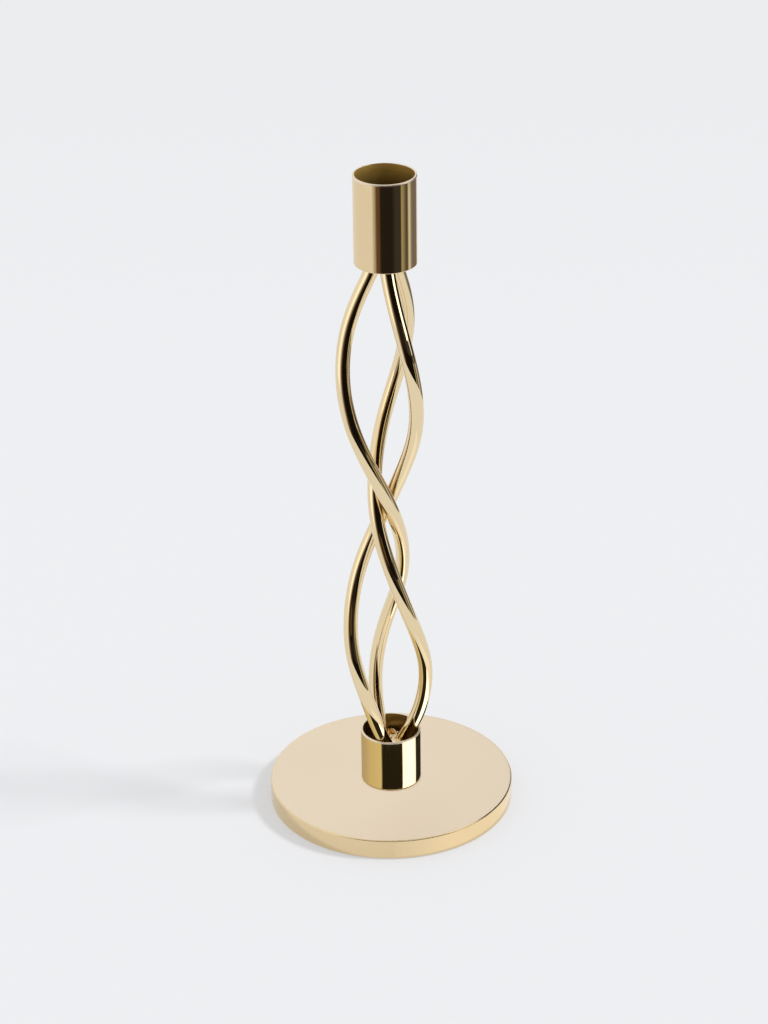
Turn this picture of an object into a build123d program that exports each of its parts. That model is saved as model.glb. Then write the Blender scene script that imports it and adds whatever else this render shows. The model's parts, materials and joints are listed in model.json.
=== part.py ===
from build123d import *
import math
import os

# Spiral candle holder: a heavy round base, an open collar, three rods twisted into two
# baskets about a tight waist, and a tube that holds the candle.
# Millimetres, +Z up. The origin is on the ground under the middle of the base, and the
# front faces -Y.

# Base
base_diameter = 100.0
base_thickness = 8.4
base_top_round = 0.6
base_bottom_round = 0.4

# Felt pad and the film that holds it
felt_thickness = 1.0
film_thickness = 0.2
felt_recess_depth = 0.8
felt_rim_width = 4.0
felt_side_clearance = 0.25
film_setback = 0.5

# Screw with a round head, an M6 thread and a hexagon socket
thread_diameter = 6.0
thread_clearance = 0.05
thread_length = 10.0
thread_tip_chamfer = 0.8
thread_tip_room = 0.8
screw_hole_clearance = 0.3
screw_head_height = 3.3
screw_head_land = 0.5
screw_crown_diameter = 5.4
screw_key_width = 4.0
screw_key_depth = 2.1

# Toothed washer round the thread, and how far it shows round the screw's head
washer_hole_clearance = 0.2
washer_band = 2.3
washer_overhang = 0.25
washer_thickness = 0.7
washer_tooth_count = 10
washer_notch_radius = 1.0

# Counterbore in the base, round the washer
counterbore_clearance = 0.75
screw_head_sink = 0.5

# Tube round the candle, of which the collar is cut too
candle_diameter = 22.0
candle_clearance = 0.45
candle_depth = 24.0
tube_wall = 0.8
rim_round = 0.4
rim_break = 0.2
socket_height = 35.8

# Plugs in the tubes: the hub in the collar, and the floor in the narrower foot of the socket
plug_clearance = 0.05
plug_chamfer = 0.4
hub_roof = 1.5
floor_thickness = 3.0
floor_step = 0.2

# Filler rings at the ends of the rods
braze_leg = 1.4
braze_lip = 0.2
braze_margin = 0.1

# Filler mound that ties the rods together where they start to spread
mound_gap = 2.2
mound_cover = 4.5
mound_crown_rise = 1.6
mound_foot_lap = 1.6
mound_shoulder_setback = 1.6

# Rods: three that touch at both ends, spread inside the collar, pass its rim close by and
# swell into a belly below and above their waist
rod_count = 3
rod_diameter = 5.8
rod_touch_clearance = 0.07
rod_rise = 229.5
belly_reach = 16.8
collar_cover = 12.7
rim_gap = 0.3
rim_slant_share = 1.08
twist_start = 140.0
twist_turn = -348.0

# At equal steps of height above the collar's rim: how far a rod has swelled from the
# bundle towards the belly, and how much of its turn it has made
swell_shares = (0.82, 0.96, 0.80, 0.46, 0.06, 0.24, 0.73, 1, 0.92, 0.44, 0)
turn_shares = (0.077, 0.130, 0.197, 0.274, 0.448, 0.737, 0.830, 0.882, 0.921, 0.955, 1)
rim_turn_share = 0.041

# Heights, worked out from the sizes above
felt_top = felt_thickness
film_top = felt_top + film_thickness
base_bottom = film_top - felt_recess_depth
base_top = base_bottom + base_thickness
head_bottom = film_top + screw_head_sink
head_top = head_bottom + screw_head_height
washer_top = head_top + washer_thickness
thread_top = head_top + thread_length
thread_hole_top = thread_top + thread_tip_room
hub_top = thread_hole_top + hub_roof
bend_bottom = hub_top + braze_leg + braze_margin
collar_top = bend_bottom + collar_cover
mound_bottom = bend_bottom + mound_gap
mound_top = collar_top - mound_cover
floor_bottom = hub_top + rod_rise
bend_top = floor_bottom - braze_leg - braze_margin
floor_top = floor_bottom + floor_thickness
socket_top = floor_top + candle_depth
socket_bottom = socket_top - socket_height

# Radii, worked out from the sizes above
recess_radius = base_diameter / 2 - felt_rim_width
felt_radius = recess_radius - felt_side_clearance
thread_radius = thread_diameter / 2
thread_hole_radius = thread_radius + thread_clearance
washer_hole_radius = thread_radius + washer_hole_clearance
washer_radius = washer_hole_radius + washer_band
screw_head_radius = washer_radius - washer_overhang
counterbore_radius = washer_radius + counterbore_clearance
tube_bore_radius = candle_diameter / 2 + candle_clearance
tube_radius = tube_bore_radius + tube_wall
floor_bore_radius = tube_bore_radius - floor_step
rod_radius = rod_diameter / 2
bundle_reach = rod_radius / math.sin(math.pi / rod_count) + rod_touch_clearance
rim_reach = tube_bore_radius - rim_gap - rod_radius * rim_slant_share
mound_foot_reach = bundle_reach + mound_foot_lap
mound_shoulder_reach = rim_reach - mound_shoulder_setback

os.makedirs("parts", exist_ok=True)

# Base: a turned disc with a recess for the felt and a counterbored hole for the screw
with BuildPart() as base_disc:
    with BuildSketch(Plane.XY.offset(base_bottom)):
        Circle(base_diameter / 2)
    extrude(amount=base_thickness)
    base_rims = base_disc.edges().filter_by(GeomType.CIRCLE).sort_by(Axis.Z)
    fillet(base_rims[-1], base_top_round)
    fillet(base_rims[0], base_bottom_round)
    with BuildSketch(Plane.XY.offset(base_bottom)):
        Circle(recess_radius)
    extrude(amount=felt_recess_depth, mode=Mode.SUBTRACT)
    with Locations(Plane(origin=(0, 0, film_top), z_dir=(0, 0, -1))):
        CounterBoreHole(
            radius=thread_radius + screw_hole_clearance,
            counter_bore_radius=counterbore_radius,
            counter_bore_depth=washer_top - film_top,
            depth=base_top - film_top,
        )
base_disc.part.label = "base_disc"
export_step(base_disc.part, "parts/base_disc.step")

# Film: holds the felt to the recess and stops short of its edge
with BuildPart() as pad_film:
    with BuildSketch(Plane.XY.offset(felt_top)):
        Circle(felt_radius - film_setback)
    extrude(amount=film_thickness)
pad_film.part.label = "pad_film"
export_step(pad_film.part, "parts/pad_film.step")

# Felt pad: covers the screw and stands a little proud of the base
with BuildPart() as base_felt_pad:
    with BuildSketch():
        Circle(felt_radius)
    extrude(amount=felt_thickness)
base_felt_pad.part.label = "base_felt_pad"
export_step(base_felt_pad.part, "parts/base_felt_pad.step")

# Screw: a domed head that faces down, with a hexagon socket, and the shank above it
with BuildPart() as fixing_screw:
    with BuildSketch(Plane.XZ):
        with BuildLine():
            land = Line(
                (screw_head_radius, head_top),
                (screw_head_radius, head_top - screw_head_land),
            )
            dome = TangentArc(land @ 1, (screw_crown_diameter / 2, head_bottom), tangent=land % 1)
            Polyline(
                dome @ 1,
                (0, head_bottom),
                (0, thread_top),
                (thread_radius - thread_tip_chamfer, thread_top),
                (thread_radius, thread_top - thread_tip_chamfer),
                (thread_radius, head_top),
                land @ 0,
            )
        make_face()
    revolve(axis=Axis.Z)
    with BuildSketch(Plane.XY.offset(head_bottom)):
        RegularPolygon(radius=screw_key_width / 2, side_count=6, major_radius=False)
    extrude(amount=screw_key_depth, mode=Mode.SUBTRACT)
fixing_screw.part.label = "fixing_screw"
export_step(fixing_screw.part, "parts/fixing_screw.step")

# Washer: a thin ring with teeth round its rim, between the head and the base
with BuildPart() as lock_washer:
    with BuildSketch(Plane.XY.offset(head_top)):
        Circle(washer_radius)
        Circle(washer_hole_radius, mode=Mode.SUBTRACT)
        with PolarLocations(washer_radius, washer_tooth_count):
            Circle(washer_notch_radius, mode=Mode.SUBTRACT)
    extrude(amount=washer_thickness)
lock_washer.part.label = "lock_washer"
export_step(lock_washer.part, "parts/lock_washer.step")

# Collar: a short open tube that stands on the base and hides the rods' feet
with BuildPart() as lower_collar:
    with BuildSketch(Plane.XY.offset(base_top)):
        Circle(tube_radius)
        Circle(tube_bore_radius, mode=Mode.SUBTRACT)
    extrude(amount=collar_top - base_top)
    collar_rim = lower_collar.edges().group_by(Axis.Z)[-1].sort_by(SortBy.RADIUS)
    fillet(collar_rim[-1], rim_round)
    chamfer(collar_rim[0], rim_break)
lower_collar.part.label = "lower_collar"
export_step(lower_collar.part, "parts/lower_collar.step")

# Hub: the plug in the bottom of the collar, tapped from below for the screw
with BuildPart() as collar_hub:
    with BuildSketch(Plane.XY.offset(base_top)):
        Circle(tube_bore_radius - plug_clearance)
    extrude(amount=hub_top - base_top)
    chamfer(collar_hub.edges().filter_by(GeomType.CIRCLE), plug_chamfer)
    with BuildSketch(Plane.XY.offset(base_top)):
        Circle(thread_hole_radius)
    extrude(amount=thread_hole_top - base_top, mode=Mode.SUBTRACT)
collar_hub.part.label = "collar_hub"
export_step(collar_hub.part, "parts/collar_hub.step")

# Rods: one curve, straight for a short way at both ends, repeated at equal turns


def rod_place(reach, turn_share, height):
    turn = math.radians(twist_start + turn_share * twist_turn)
    return Vector(reach * math.cos(turn), reach * math.sin(turn), height)


bend_points = [
    rod_place(bundle_reach, 0, bend_bottom),
    rod_place(rim_reach, rim_turn_share, collar_top),
]
rod_step = (bend_top - collar_top) / len(swell_shares)
for step, (swell_share, turn_share) in enumerate(zip(swell_shares, turn_shares), start=1):
    reach = bundle_reach + swell_share * (belly_reach - bundle_reach)
    bend_points.append(rod_place(reach, turn_share, collar_top + step * rod_step))
rod_foot = rod_place(bundle_reach, 0, hub_top)
rod_head = rod_place(bundle_reach, turn_shares[-1], floor_bottom)

with BuildPart() as rod_pattern:
    with BuildLine() as rod_line:
        Line(rod_foot, bend_points[0])
        Spline(*bend_points, tangents=[(0, 0, 1), (0, 0, 1)], tangent_scalars=[1, 1])
        Line(bend_points[-1], rod_head)
    with BuildSketch(Plane(origin=rod_foot)):
        Circle(rod_radius)
    sweep()
rod_length = sum(edge.length for edge in rod_line.edges())
rod_volume_share = rod_pattern.part.volume / (math.pi * rod_radius**2 * rod_length)
print(f"rod length {rod_length:.1f}, volume over section times length {rod_volume_share:.4f}")

rod_turns = [360 * number / rod_count for number in range(rod_count)]
for number, rod_turn in enumerate(rod_turns):
    with BuildPart() as spiral_rod:
        add(rod_pattern.part, rotation=(0, 0, rod_turn))
    spiral_rod.part.label = f"spiral_rod_{number + 1}"
    export_step(spiral_rod.part, f"parts/{spiral_rod.part.label}.step")

# Filler rings: one round the rods' feet on the hub, one round their heads under the floor
bead_lip_radius = bundle_reach + rod_radius + braze_lip
bead_foot_radius = bundle_reach + rod_radius + braze_leg
for bead_name, seat_height, leg, rod_end in (
    ("lower_braze", hub_top, braze_leg, rod_foot),
    ("upper_braze", floor_bottom, -braze_leg, rod_head),
):
    with BuildPart() as braze_bead:
        with BuildSketch(Plane.XZ):
            with BuildLine():
                seat = Line((bundle_reach, seat_height), (bead_foot_radius, seat_height))
                cove = TangentArc(seat @ 1, (bead_lip_radius, seat_height + leg), tangent=(-1, 0))
                Polyline(cove @ 1, (bundle_reach, seat_height + leg), seat @ 0)
            make_face()
        revolve(axis=Axis.Z)
        with BuildSketch(Plane.XY.offset(seat_height)):
            for rod_turn in rod_turns:
                with Locations(rod_end.rotate(Axis.Z, rod_turn)):
                    Circle(rod_radius)
        extrude(amount=leg, mode=Mode.SUBTRACT)
    braze_bead.part.label = bead_name
    export_step(braze_bead.part, f"parts/{bead_name}.step")

# Filler mound: fills the room among the rods inside the collar, a little below its rim
with BuildPart() as mound_braze:
    with BuildSketch(Plane.XZ):
        with BuildLine():
            crown = TangentArc(
                (0, mound_top),
                (mound_shoulder_reach, mound_top - mound_crown_rise),
                tangent=(1, 0),
            )
            Polyline(crown @ 1, (mound_foot_reach, mound_bottom), (0, mound_bottom), crown @ 0)
        make_face()
    revolve(axis=Axis.Z)
    for rod_turn in rod_turns:
        add(rod_pattern.part, rotation=(0, 0, rod_turn), mode=Mode.SUBTRACT)
mound_braze.part.label = "mound_braze"
export_step(mound_braze.part, "parts/mound_braze.step")

# Floor: the plug that carries the candle, level with the step in the socket's bore
with BuildPart() as socket_floor:
    with BuildSketch(Plane.XY.offset(floor_bottom)):
        Circle(floor_bore_radius - plug_clearance)
    extrude(amount=floor_thickness)
    chamfer(socket_floor.edges().filter_by(GeomType.CIRCLE), plug_chamfer)
socket_floor.part.label = "socket_floor"
export_step(socket_floor.part, "parts/socket_floor.step")

# Socket: the upper tube, bored for the candle down to the floor and a little narrower below
with BuildPart() as socket_tube:
    with BuildSketch(Plane.XY.offset(socket_bottom)):
        Circle(tube_radius)
        Circle(floor_bore_radius, mode=Mode.SUBTRACT)
    extrude(amount=socket_height)
    with BuildSketch(Plane.XY.offset(floor_top)):
        Circle(tube_bore_radius)
    extrude(amount=candle_depth, mode=Mode.SUBTRACT)
    for end in (0, -1):
        socket_rim = socket_tube.edges().group_by(Axis.Z)[end].sort_by(SortBy.RADIUS)
        fillet(socket_rim[-1], rim_round)
        chamfer(socket_rim[0], rim_break)
socket_tube.part.label = "socket_tube"
export_step(socket_tube.part, "parts/socket_tube.step")

print(f"overall height {socket_top:.2f}, tube {2 * tube_radius:.2f} across")
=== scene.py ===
"""Looks for the spiral candle holder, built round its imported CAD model."""

import json
import logging
import math
from dataclasses import dataclass, field
from enum import Enum

import bpy
import numpy as np
from mathutils import Matrix, Vector

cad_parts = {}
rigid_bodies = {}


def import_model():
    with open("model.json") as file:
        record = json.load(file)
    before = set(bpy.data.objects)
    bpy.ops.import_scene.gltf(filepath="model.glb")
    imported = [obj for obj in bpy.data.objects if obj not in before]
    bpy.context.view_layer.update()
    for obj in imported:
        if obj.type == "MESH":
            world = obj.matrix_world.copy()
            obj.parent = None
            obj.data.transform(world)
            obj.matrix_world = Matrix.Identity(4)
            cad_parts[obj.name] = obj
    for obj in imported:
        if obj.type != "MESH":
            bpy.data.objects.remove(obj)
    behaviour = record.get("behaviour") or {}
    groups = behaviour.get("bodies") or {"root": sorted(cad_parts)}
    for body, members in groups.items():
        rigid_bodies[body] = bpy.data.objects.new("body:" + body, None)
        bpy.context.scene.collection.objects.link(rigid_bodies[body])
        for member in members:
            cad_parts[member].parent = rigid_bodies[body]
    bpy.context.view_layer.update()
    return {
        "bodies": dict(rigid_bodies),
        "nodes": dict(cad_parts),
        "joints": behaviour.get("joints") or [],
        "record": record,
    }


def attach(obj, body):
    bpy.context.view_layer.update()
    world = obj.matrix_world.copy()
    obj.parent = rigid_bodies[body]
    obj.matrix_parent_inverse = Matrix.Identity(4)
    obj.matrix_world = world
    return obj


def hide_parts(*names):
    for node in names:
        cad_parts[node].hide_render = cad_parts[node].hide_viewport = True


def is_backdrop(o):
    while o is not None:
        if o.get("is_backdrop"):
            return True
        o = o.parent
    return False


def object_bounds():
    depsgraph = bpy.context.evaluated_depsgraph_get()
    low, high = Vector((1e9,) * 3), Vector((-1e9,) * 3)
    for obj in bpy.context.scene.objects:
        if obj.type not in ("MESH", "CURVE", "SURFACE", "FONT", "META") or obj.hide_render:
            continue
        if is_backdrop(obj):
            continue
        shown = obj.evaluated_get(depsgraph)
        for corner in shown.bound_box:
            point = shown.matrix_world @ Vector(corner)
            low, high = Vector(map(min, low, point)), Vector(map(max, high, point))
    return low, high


Colour = tuple[float, float, float]
Pair = tuple[float, float]
Point = tuple[float, float, float]
Tones = tuple[tuple[float, Colour], ...]
Feed = float | bpy.types.NodeSocket
ColourFeed = Colour | bpy.types.NodeSocket
Inputs = dict[str | int, Feed | ColourFeed]

MM = 0.001
MICRON = 1.0e-6
UPRIGHT = (0.0, 0.0, 1.0)
BACKWARD = (0.0, 1.0, 0.0)
BODY = "root"
LOG = logging.getLogger("candle_holder")

# How a turned piece's rings drift round it: in how many waves, and how far in the texture
DRIFT_WAVES = 3.0
DRIFT_REACH = 0.6

# The Mix node's sockets for its share, its two colours and its mixed colour
MIX_SHARE, MIX_FIRST, MIX_SECOND, MIX_RESULT = 0, 6, 7, 2


class Slot(Enum):
    """The record's material slots."""

    POLISHED_BRASS = "polished_brass"
    SATIN_BRASS = "satin_brass"
    BRAZE_FILLER = "braze_filler"
    FELT = "felt"


class Lie(Enum):
    """How a texture lies on a piece."""

    OBJECT = "Object"
    UV = "UV"
    TURNED = "turned"


@dataclass(frozen=True)
class Grain:
    """A noise texture: its scale, its octaves and their strength, its stretch, and how it lies.

    On a turned piece the first two stretches are for the radius and the height.
    """

    scale: float
    detail: float = 3.0
    rough: float = 0.5
    stretch: Point = (1.0, 1.0, 1.0)
    lie: Lie = Lie.OBJECT


class NodeSheet:
    """The node tree of a material or a world, with short calls for the nodes that they share."""

    def __init__(self, owner: bpy.types.Material | bpy.types.World) -> None:
        """Empties the owner's node tree.

        Args:
            owner: The material or the world.
        """
        owner.use_nodes = True
        self.owner = owner
        self.tree = owner.node_tree
        self.tree.nodes.clear()
        self.laid: dict[Grain, bpy.types.NodeSocket] = {}

    def node(self, kind: str, inputs: Inputs | None = None, **settings: object) -> bpy.types.Node:
        """Adds a node.

        Args:
            kind: The node's Blender type, without its leading ShaderNode.
            inputs: Socket name or index to a value, a colour, or the socket that feeds it.
            settings: The node's own properties.

        Returns:
            The node.
        """
        made = self.tree.nodes.new("ShaderNode" + kind)
        for name, value in settings.items():
            setattr(made, name, value)
        for key, value in (inputs or {}).items():
            socket = made.inputs[key]
            if isinstance(value, bpy.types.NodeSocket):
                self.tree.links.new(value, socket)
            else:
                socket.default_value = (*value, 1.0) if socket.type == "RGBA" else value
        return made

    def math(self, operation: str, first: Feed, second: Feed = 0.0) -> bpy.types.NodeSocket:
        """Adds a maths node.

        Args:
            operation: The operation's Blender name.
            first: The first value or socket.
            second: The second value or socket.

        Returns:
            The result's socket.
        """
        return self.node("Math", {0: first, 1: second}, operation=operation).outputs[0]

    def stretch(self, value: bpy.types.NodeSocket, low: float, high: float) -> bpy.types.NodeSocket:
        """Maps a texture's 0 to 1 onto low to high.

        Args:
            value: The texture's socket.
            low: The result at 0.
            high: The result at 1.

        Returns:
            The result's socket.
        """
        return self.node("MapRange", {"Value": value, "To Min": low, "To Max": high}).outputs[0]

    def blend(self, share: Feed, first: ColourFeed, second: ColourFeed) -> bpy.types.NodeSocket:
        """Mixes two colours.

        Args:
            share: How much of the second colour, as a value or socket.
            first: The colour or socket at share 0.
            second: The colour or socket at share 1.

        Returns:
            The mixed colour's socket.
        """
        inputs = {MIX_SHARE: share, MIX_FIRST: first, MIX_SECOND: second}
        return self.node("Mix", inputs, data_type="RGBA").outputs[MIX_RESULT]

    def place(self, kind: str = "Object", scale: Point = (1.0, 1.0, 1.0)) -> bpy.types.NodeSocket:
        """Gives texture coordinates, stretched by scale.

        Args:
            kind: The output of the Texture Coordinate node.
            scale: The stretch along each axis.

        Returns:
            The coordinates' socket.
        """
        source = self.node("TexCoord").outputs[kind]
        return self.node("Mapping", {"Vector": source, "Scale": scale}).outputs[0]

    def round_place(self, across: float, along: float) -> bpy.types.NodeSocket:
        """Gives the coordinates of a turned piece: radius, height and a slow drift round it.

        Args:
            across: How fast a texture changes with the radius, for each metre.
            along: How fast it changes with the height, for each metre.

        Returns:
            The coordinates' socket.
        """
        axes = self.node("SeparateXYZ", {0: self.node("TexCoord").outputs["Object"]}).outputs
        squares = [self.math("MULTIPLY", axis, axis) for axis in (axes[0], axes[1])]
        reach = self.math("SQRT", self.math("ADD", *squares))
        turn = self.math("ARCTAN2", axes[1], axes[0])
        waver = self.math("COSINE", self.math("MULTIPLY", turn, DRIFT_WAVES))
        drift = self.math("ADD", self.math("SINE", turn), waver)
        return self.node("CombineXYZ", {
            0: self.math("MULTIPLY", reach, across),
            1: self.math("MULTIPLY", axes[2], along),
            2: self.math("MULTIPLY", drift, DRIFT_REACH),
        }).outputs[0]

    def lay(self, grain: Grain) -> bpy.types.NodeSocket:
        """Lays a noise texture on the piece, once however often it is asked for.

        Args:
            grain: The texture.

        Returns:
            The noise's value socket.
        """
        if grain not in self.laid:
            if grain.lie is Lie.TURNED:
                place = self.round_place(*grain.stretch[:2])
            else:
                place = self.place(grain.lie.value, grain.stretch)
            self.laid[grain] = self.node("TexNoise", {
                "Vector": place, "Scale": grain.scale, "Detail": grain.detail, "Roughness": grain.rough,
            }).outputs[0]
        return self.laid[grain]

    def bump(
        self, height: bpy.types.NodeSocket, distance: float, under: bpy.types.NodeSocket | None = None,
    ) -> bpy.types.NodeSocket:
        """Adds a bump.

        Args:
            height: The height's socket.
            distance: The depth of the bump in metres.
            under: The normal socket of a bump below this one.

        Returns:
            The normal's socket.
        """
        inputs = {"Height": height, "Distance": distance}
        if under is not None:
            inputs["Normal"] = under
        return self.node("Bump", inputs).outputs[0]

    def surface(self, inputs: Inputs) -> bpy.types.Material:
        """Ends a material with one Principled shader.

        Args:
            inputs: Socket name to a value or socket.

        Returns:
            The finished material.
        """
        return self.end(self.node("BsdfPrincipled", inputs).outputs[0])

    def end(self, shade: bpy.types.NodeSocket) -> bpy.types.Material | bpy.types.World:
        """Ends the sheet with its output.

        Args:
            shade: The last shader's socket.

        Returns:
            The finished material or world.
        """
        kind = "OutputWorld" if isinstance(self.owner, bpy.types.World) else "OutputMaterial"
        self.node(kind, {"Surface": shade})
        return self.owner


@dataclass(frozen=True)
class BoreShade:
    """Painted shade that deepens down a bore, from none at its mouth to all at its reach."""

    colour: Colour
    mouth: float
    reach: float

    def darken(self, sheet: NodeSheet, tone: bpy.types.NodeSocket) -> bpy.types.NodeSocket:
        """Lays the painted shade over a tone.

        Args:
            sheet: The material's sheet.
            tone: The metal's tone without the painted shade.

        Returns:
            The shaded tone's socket.
        """
        height = sheet.node("SeparateXYZ", {0: sheet.place()}).outputs[2]
        depth = sheet.node("MapRange", {
            "Value": height, "From Min": self.mouth, "From Max": self.mouth - self.reach}).outputs[0]
        return sheet.blend(depth, tone, self.colour)


@dataclass(frozen=True)
class MetalFinish:
    """A metal surface: two tones that drift into each other, an uneven gloss, and a fine relief."""

    name: str
    colour: Colour
    deep_colour: Colour
    roughness: Pair
    tone: Grain
    gloss: Grain
    relief: tuple[tuple[Grain, float], ...]
    tone_span: Pair = (0.0, 1.0)
    metallic: float = 1.0
    bore_shade: BoreShade | None = None

    def material(self) -> bpy.types.Material:
        """Builds the material.

        Returns:
            The material.
        """
        sheet = NodeSheet(bpy.data.materials.new(self.name))
        tone = sheet.blend(
            sheet.stretch(sheet.lay(self.tone), *self.tone_span), self.colour, self.deep_colour)
        # Painted shade, darker down the bore
        if self.bore_shade:
            tone = self.bore_shade.darken(sheet, tone)
        normal = None
        for grain, depth in self.relief:
            normal = sheet.bump(sheet.lay(grain), depth, under=normal)
        return sheet.surface({
            "Base Color": tone,
            "Metallic": self.metallic,
            "Roughness": sheet.stretch(sheet.lay(self.gloss), *self.roughness),
            "Normal": normal,
        })


# Mirror-polished tube: fine draw lines along it, a faint wave, and polishing marks across
DRAW_LINES = Grain(2600.0, 3.0, 0.6, (1.0, 1.0, 0.012))
TUBE_WAVE = Grain(220.0, 1.0, 0.5, (1.0, 1.0, 0.1))
POLISHED_TUBE = MetalFinish(
    "polished_tube_brass", (0.83, 0.66, 0.405), (0.79, 0.60, 0.335), (0.045, 0.085),
    tone=Grain(60.0), tone_span=(0.0, 0.5), gloss=Grain(900.0, 4.0, 0.65, (1.0, 1.0, 6.0)),
    relief=((DRAW_LINES, 1.2 * MICRON), (TUBE_WAVE, 6.0 * MICRON)))

# Mirror-polished rod: polishing lines along it, and a slight ripple where it was bent
ROD_LINES = Grain(4.0, 3.0, 0.6, (40.0, 3.0, 1.0), Lie.UV)
ROD_RIPPLE = Grain(95.0, 1.0)
POLISHED_ROD = MetalFinish(
    "polished_rod_brass", (0.88, 0.73, 0.47), (0.82, 0.64, 0.37), (0.022, 0.048),
    tone=Grain(45.0), tone_span=(0.0, 0.55), gloss=Grain(1400.0, 4.0, 0.65),
    relief=((ROD_LINES, 0.5 * MICRON), (ROD_RIPPLE, 8.0 * MICRON)))

# The insides of the tubes: bored brass with rings, left duller than the outside; the collar's bore is also a
# darker copy of the brass, painted shade for its deep inside
BORE_RINGS = Grain(1.0, 3.0, 0.75, (200.0, 1500.0, 1.0), Lie.TURNED)
BORE_RING_DEPTH = 6.0 * MICRON
COLLAR_BORE = MetalFinish(
    "collar_bore_brass", (0.52, 0.38, 0.15), (0.36, 0.25, 0.08), (0.28, 0.42),
    tone=BORE_RINGS, tone_span=(-0.6, 1.6), gloss=BORE_RINGS, relief=((BORE_RINGS, BORE_RING_DEPTH),))
# The socket's bore darkens with painted shade from its mouth to 13 mm down
SOCKET_BORE = MetalFinish(
    "socket_bore_brass", (0.95, 0.67, 0.20), (0.78, 0.52, 0.11), (0.34, 0.48),
    tone=BORE_RINGS, tone_span=(-0.6, 1.6), gloss=BORE_RINGS, relief=((BORE_RINGS, BORE_RING_DEPTH),),
    metallic=0.72, bore_shade=BoreShade((0.08, 0.035, 0.003), mouth=273.8 * MM, reach=13.0 * MM))

# The ends of the tubes: faced off on the lathe and left a pale satin
LIP_RINGS = Grain(1.0, 2.0, 0.5, (9000.0, 9000.0, 1.0), Lie.TURNED)
FACED_LIP = MetalFinish(
    "faced_lip_brass", (0.90, 0.80, 0.66), (0.85, 0.73, 0.56), (0.42, 0.52),
    tone=Grain(240.0), gloss=LIP_RINGS, relief=((LIP_RINGS, 1.5 * MICRON),))

# The top of the base: turned, then blasted to an even pale satin
BLASTED = Grain(5200.0, 3.0, 0.6)
TOP_RINGS = Grain(1.0, 2.0, 0.5, (2400.0, 10.0, 1.0), Lie.TURNED)
SATIN_TOP = MetalFinish(
    "satin_top_brass", (0.885, 0.775, 0.62), (0.865, 0.75, 0.585), (0.46, 0.54),
    tone=Grain(28.0), gloss=BLASTED, relief=((TOP_RINGS, 1.0 * MICRON), (BLASTED, 2.0 * MICRON)))

# The rim of the base: turned, then polished, with its last fine turning lines
RIM_LINES = Grain(1.0, 3.0, 0.6, (2200.0, 4200.0, 1.0), Lie.TURNED)
POLISHED_EDGE = MetalFinish(
    "polished_edge_brass", (0.83, 0.66, 0.405), (0.79, 0.61, 0.35), (0.09, 0.15),
    tone=Grain(40.0), gloss=RIM_LINES, relief=((RIM_LINES, 1.5 * MICRON),))

# Bare turned steel with its tool rings
TOOL_RINGS = Grain(1.0, 2.0, 0.6, (5200.0, 3000.0, 1.0), Lie.TURNED)
TURNED_STEEL = MetalFinish(
    "turned_steel", (0.55, 0.53, 0.50), (0.42, 0.39, 0.35), (0.24, 0.4),
    tone=Grain(260.0, 4.0), gloss=TOOL_RINGS, relief=((TOOL_RINGS, 6.0 * MICRON),))

# Bright zinc on steel, faintly mottled
MOTTLE = Grain(420.0)
ZINC_PLATE = MetalFinish(
    "zinc_plate", (0.66, 0.67, 0.69), (0.52, 0.54, 0.58), (0.22, 0.42),
    tone=MOTTLE, gloss=MOTTLE, relief=((Grain(3200.0, 4.0, 0.6), 5.0 * MICRON),))

# Brazing filler as it ran and froze: bright, uneven, with warm heat tints
LUMPS = Grain(620.0, 2.0)
FLOWED_FILLER = MetalFinish(
    "flowed_filler", (0.94, 0.86, 0.70), (0.72, 0.53, 0.29), (0.07, 0.18),
    tone=Grain(380.0), gloss=LUMPS, relief=((LUMPS, 60.0 * MICRON),))


@dataclass(frozen=True)
class PressedFelt:
    """Dark pressed felt with matted fibres and a soft sheen."""

    colour: Colour = (0.035, 0.035, 0.036)
    fibre_colour: Colour = (0.12, 0.12, 0.12)
    roughness: float = 0.95
    sheen: float = 0.4
    bent: Grain = Grain(700.0, 4.0, 0.7)
    fibre_scale: float = 2600.0
    fibre_stretch: Point = (1.0, 0.35, 1.0)
    fibre_depth: float = 120.0 * MICRON

    def material(self) -> bpy.types.Material:
        """Builds the material.

        Returns:
            The material.
        """
        sheet = NodeSheet(bpy.data.materials.new("pressed_felt"))
        bent = sheet.lay(self.bent)
        shift = sheet.node("CombineXYZ", {0: bent}).outputs[0]
        place = sheet.node(
            "VectorMath", {0: sheet.place(scale=self.fibre_stretch), 1: shift}, operation="ADD").outputs[0]
        fibre = sheet.node(
            "TexVoronoi", {"Vector": place, "Scale": self.fibre_scale}, feature="DISTANCE_TO_EDGE").outputs[0]
        matted = sheet.math("MULTIPLY", sheet.stretch(fibre, 1.0, 0.0), bent)
        return sheet.surface({
            "Base Color": sheet.blend(matted, self.colour, self.fibre_colour),
            "Roughness": self.roughness,
            "Sheen Weight": self.sheen,
            "Normal": sheet.bump(matted, self.fibre_depth),
        })


@dataclass(frozen=True)
class ClearFilm:
    """The thin adhesive film between the base and the felt, hazy with small bubbles."""

    colour: Colour = (0.75, 0.74, 0.70)
    hazy_colour: Colour = (0.62, 0.60, 0.54)
    roughness: Pair = (0.35, 0.6)
    haze: Grain = Grain(180.0, 4.0)
    bubble_scale: float = 900.0
    bubble_depth: float = 20.0 * MICRON

    def material(self) -> bpy.types.Material:
        """Builds the material.

        Returns:
            The material.
        """
        sheet = NodeSheet(bpy.data.materials.new("clear_film"))
        haze = sheet.lay(self.haze)
        bubbles = sheet.node("TexVoronoi", {"Vector": sheet.place(), "Scale": self.bubble_scale}).outputs[0]
        return sheet.surface({
            "Base Color": sheet.blend(haze, self.colour, self.hazy_colour),
            "Roughness": sheet.stretch(haze, *self.roughness),
            "Normal": sheet.bump(bubbles, self.bubble_depth),
        })


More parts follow.
